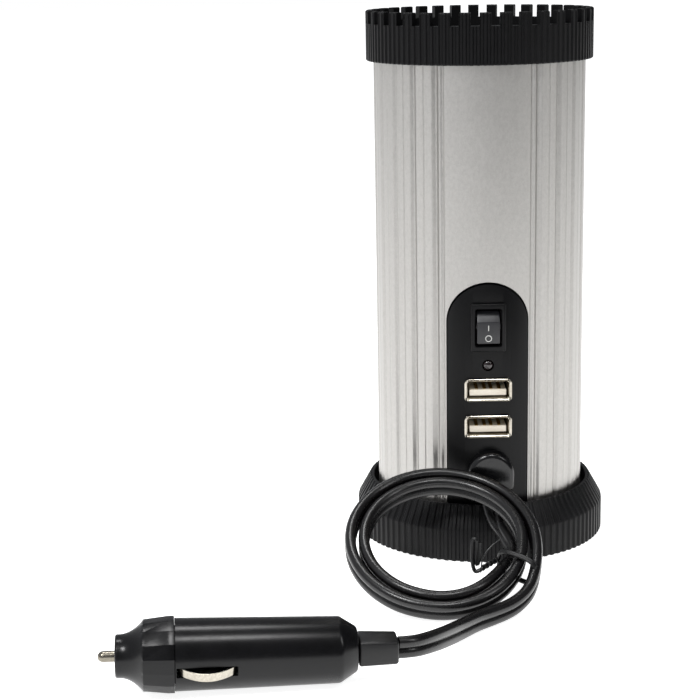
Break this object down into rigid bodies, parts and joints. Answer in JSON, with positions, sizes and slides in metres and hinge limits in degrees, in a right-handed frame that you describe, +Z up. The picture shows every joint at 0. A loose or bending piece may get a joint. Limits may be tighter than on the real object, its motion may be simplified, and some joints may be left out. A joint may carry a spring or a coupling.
{
  "type": "power inverter",
  "caption": "Can-shaped 12 V power inverter for a cup holder, with a mains outlet on top, USB sockets, a rocker switch and a coiled lead with an accessory plug.",
  "frame": {"origin": "centre of the base ring's underside, on the surface it stands on", "axes": "+Z up along the can, -Y towards the control panel, +X to the right of someone facing the panel"},
  "size_m": [0.1485, 0.1807, 0.1671],
  "materials": {
    "satin_aluminium": "satin extruded aluminium, fine vertical grain",
    "cap_plastic": "matte black moulding",
    "base_plastic": "matte charcoal moulding",
    "panel_plastic": "fine-textured black moulding",
    "rocker_plastic": "semi-matte black",
    "smoked_lens": "smoked clear lens",
    "nickel": "bright nickel plate",
    "cream_plastic": "cream insulator",
    "green_laminate": "glass-fibre board",
    "cord_rubber": "glossy soft black lead",
    "plug_plastic": "glossy black moulding",
    "brass": "plain brass",
    "steel": "zinc plated",
    "ferrite": "sintered ferrite",
    "copper_enamel": "enamelled copper wire",
    "capacitor_sleeve": "shrunk sleeve",
    "film_case": "dipped film capacitor",
    "fuse_glass": "clear glass tube",
    "red_wire": "insulated lead",
    "black_wire": "insulated lead"
  },
  "bodies": {
    "inverter": {"base_ring": "base_plastic", "base_screw_1": "steel", "base_screw_2": "steel", "base_screw_3": "steel", "body_tube": "satin_aluminium", "bottom_plate": "base_plastic", "bus_capacitor": "capacitor_sleeve", "choke_coil": "copper_enamel", "cord_coil": "cord_rubber", "cord_gland": "panel_plastic", "cord_lead": "cord_rubber", "cord_tail": "cord_rubber", "cord_tie": "cord_rubber", "fan_frame": "panel_plastic", "film_capacitor": "film_case", "front_panel": "panel_plastic", "gland_nut": "panel_plastic", "heat_sink_bar": "satin_aluminium", "input_capacitor_1": "capacitor_sleeve", "input_capacitor_2": "capacitor_sleeve", "input_wire_negative": "black_wire", "input_wire_positive": "red_wire", "main_board": "green_laminate", "outlet_contact_ground": "brass", "outlet_contact_line": "brass", "outlet_contact_neutral": "brass", "outlet_insert": "cap_plastic", "output_wire_line": "black_wire", "output_wire_neutral": "red_wire", "plug_body": "plug_plastic", "plug_boot": "plug_plastic", "plug_fuse_spring": "steel", "plug_nose": "plug_plastic", "power_led": "smoked_lens", "power_transistor_1": "panel_plastic", "power_transistor_2": "panel_plastic", "power_transistor_3": "panel_plastic", "power_transistor_4": "panel_plastic", "switch_housing": "panel_plastic", "switch_terminal_lower": "brass", "switch_terminal_upper": "brass", "top_cap": "cap_plastic", "transformer_core": "ferrite", "transformer_winding": "copper_enamel", "usb_board": "green_laminate", "usb_shell_lower": "nickel", "usb_shell_upper": "nickel", "usb_tongue_lower": "cream_plastic", "usb_tongue_upper": "cream_plastic"},
    "rocker": {"switch_rocker": "rocker_plastic"},
    "fan": {"fan_rotor": "panel_plastic"},
    "centre_pin": {"plug_pin": "nickel", "plug_fuse": "fuse_glass"},
    "contact_front": {"plug_contact_front": "nickel"},
    "contact_rear": {"plug_contact_rear": "nickel"}
  },
  "joints": [
    {"name": "switch_rocker_tilt", "type": "hinge", "parent": "inverter", "child": "rocker", "pos_m": [0, -0.0328, 0.0732], "axis": [1, 0, 0], "range_deg": [0, 18]},
    {"name": "fan_spin", "type": "hinge", "parent": "inverter", "child": "fan", "pos_m": [0, 0, 0.012], "axis": [0, 0, 1], "continuous": true},
    {"name": "plug_pin_press", "type": "slide", "parent": "inverter", "child": "centre_pin", "axis": [0.9952, 0.0941, -0.0279], "range_m": [0, 0.003], "stiffness_N_per_m": 400, "springref_m": -0.002, "deforming": ["plug_fuse_spring"]},
    {"name": "plug_contact_front_press", "type": "slide", "parent": "inverter", "child": "contact_front", "axis": [-0.0893, 0.9862, 0.1391], "range_m": [0, 0.002], "stiffness_N_per_m": 400, "springref_m": -0.001},
    {"name": "plug_contact_rear_press", "type": "slide", "parent": "inverter", "child": "contact_rear", "axis": [0.0893, -0.9862, -0.1391], "range_m": [0, 0.002], "stiffness_N_per_m": 400, "springref_m": -0.001}
  ]
}
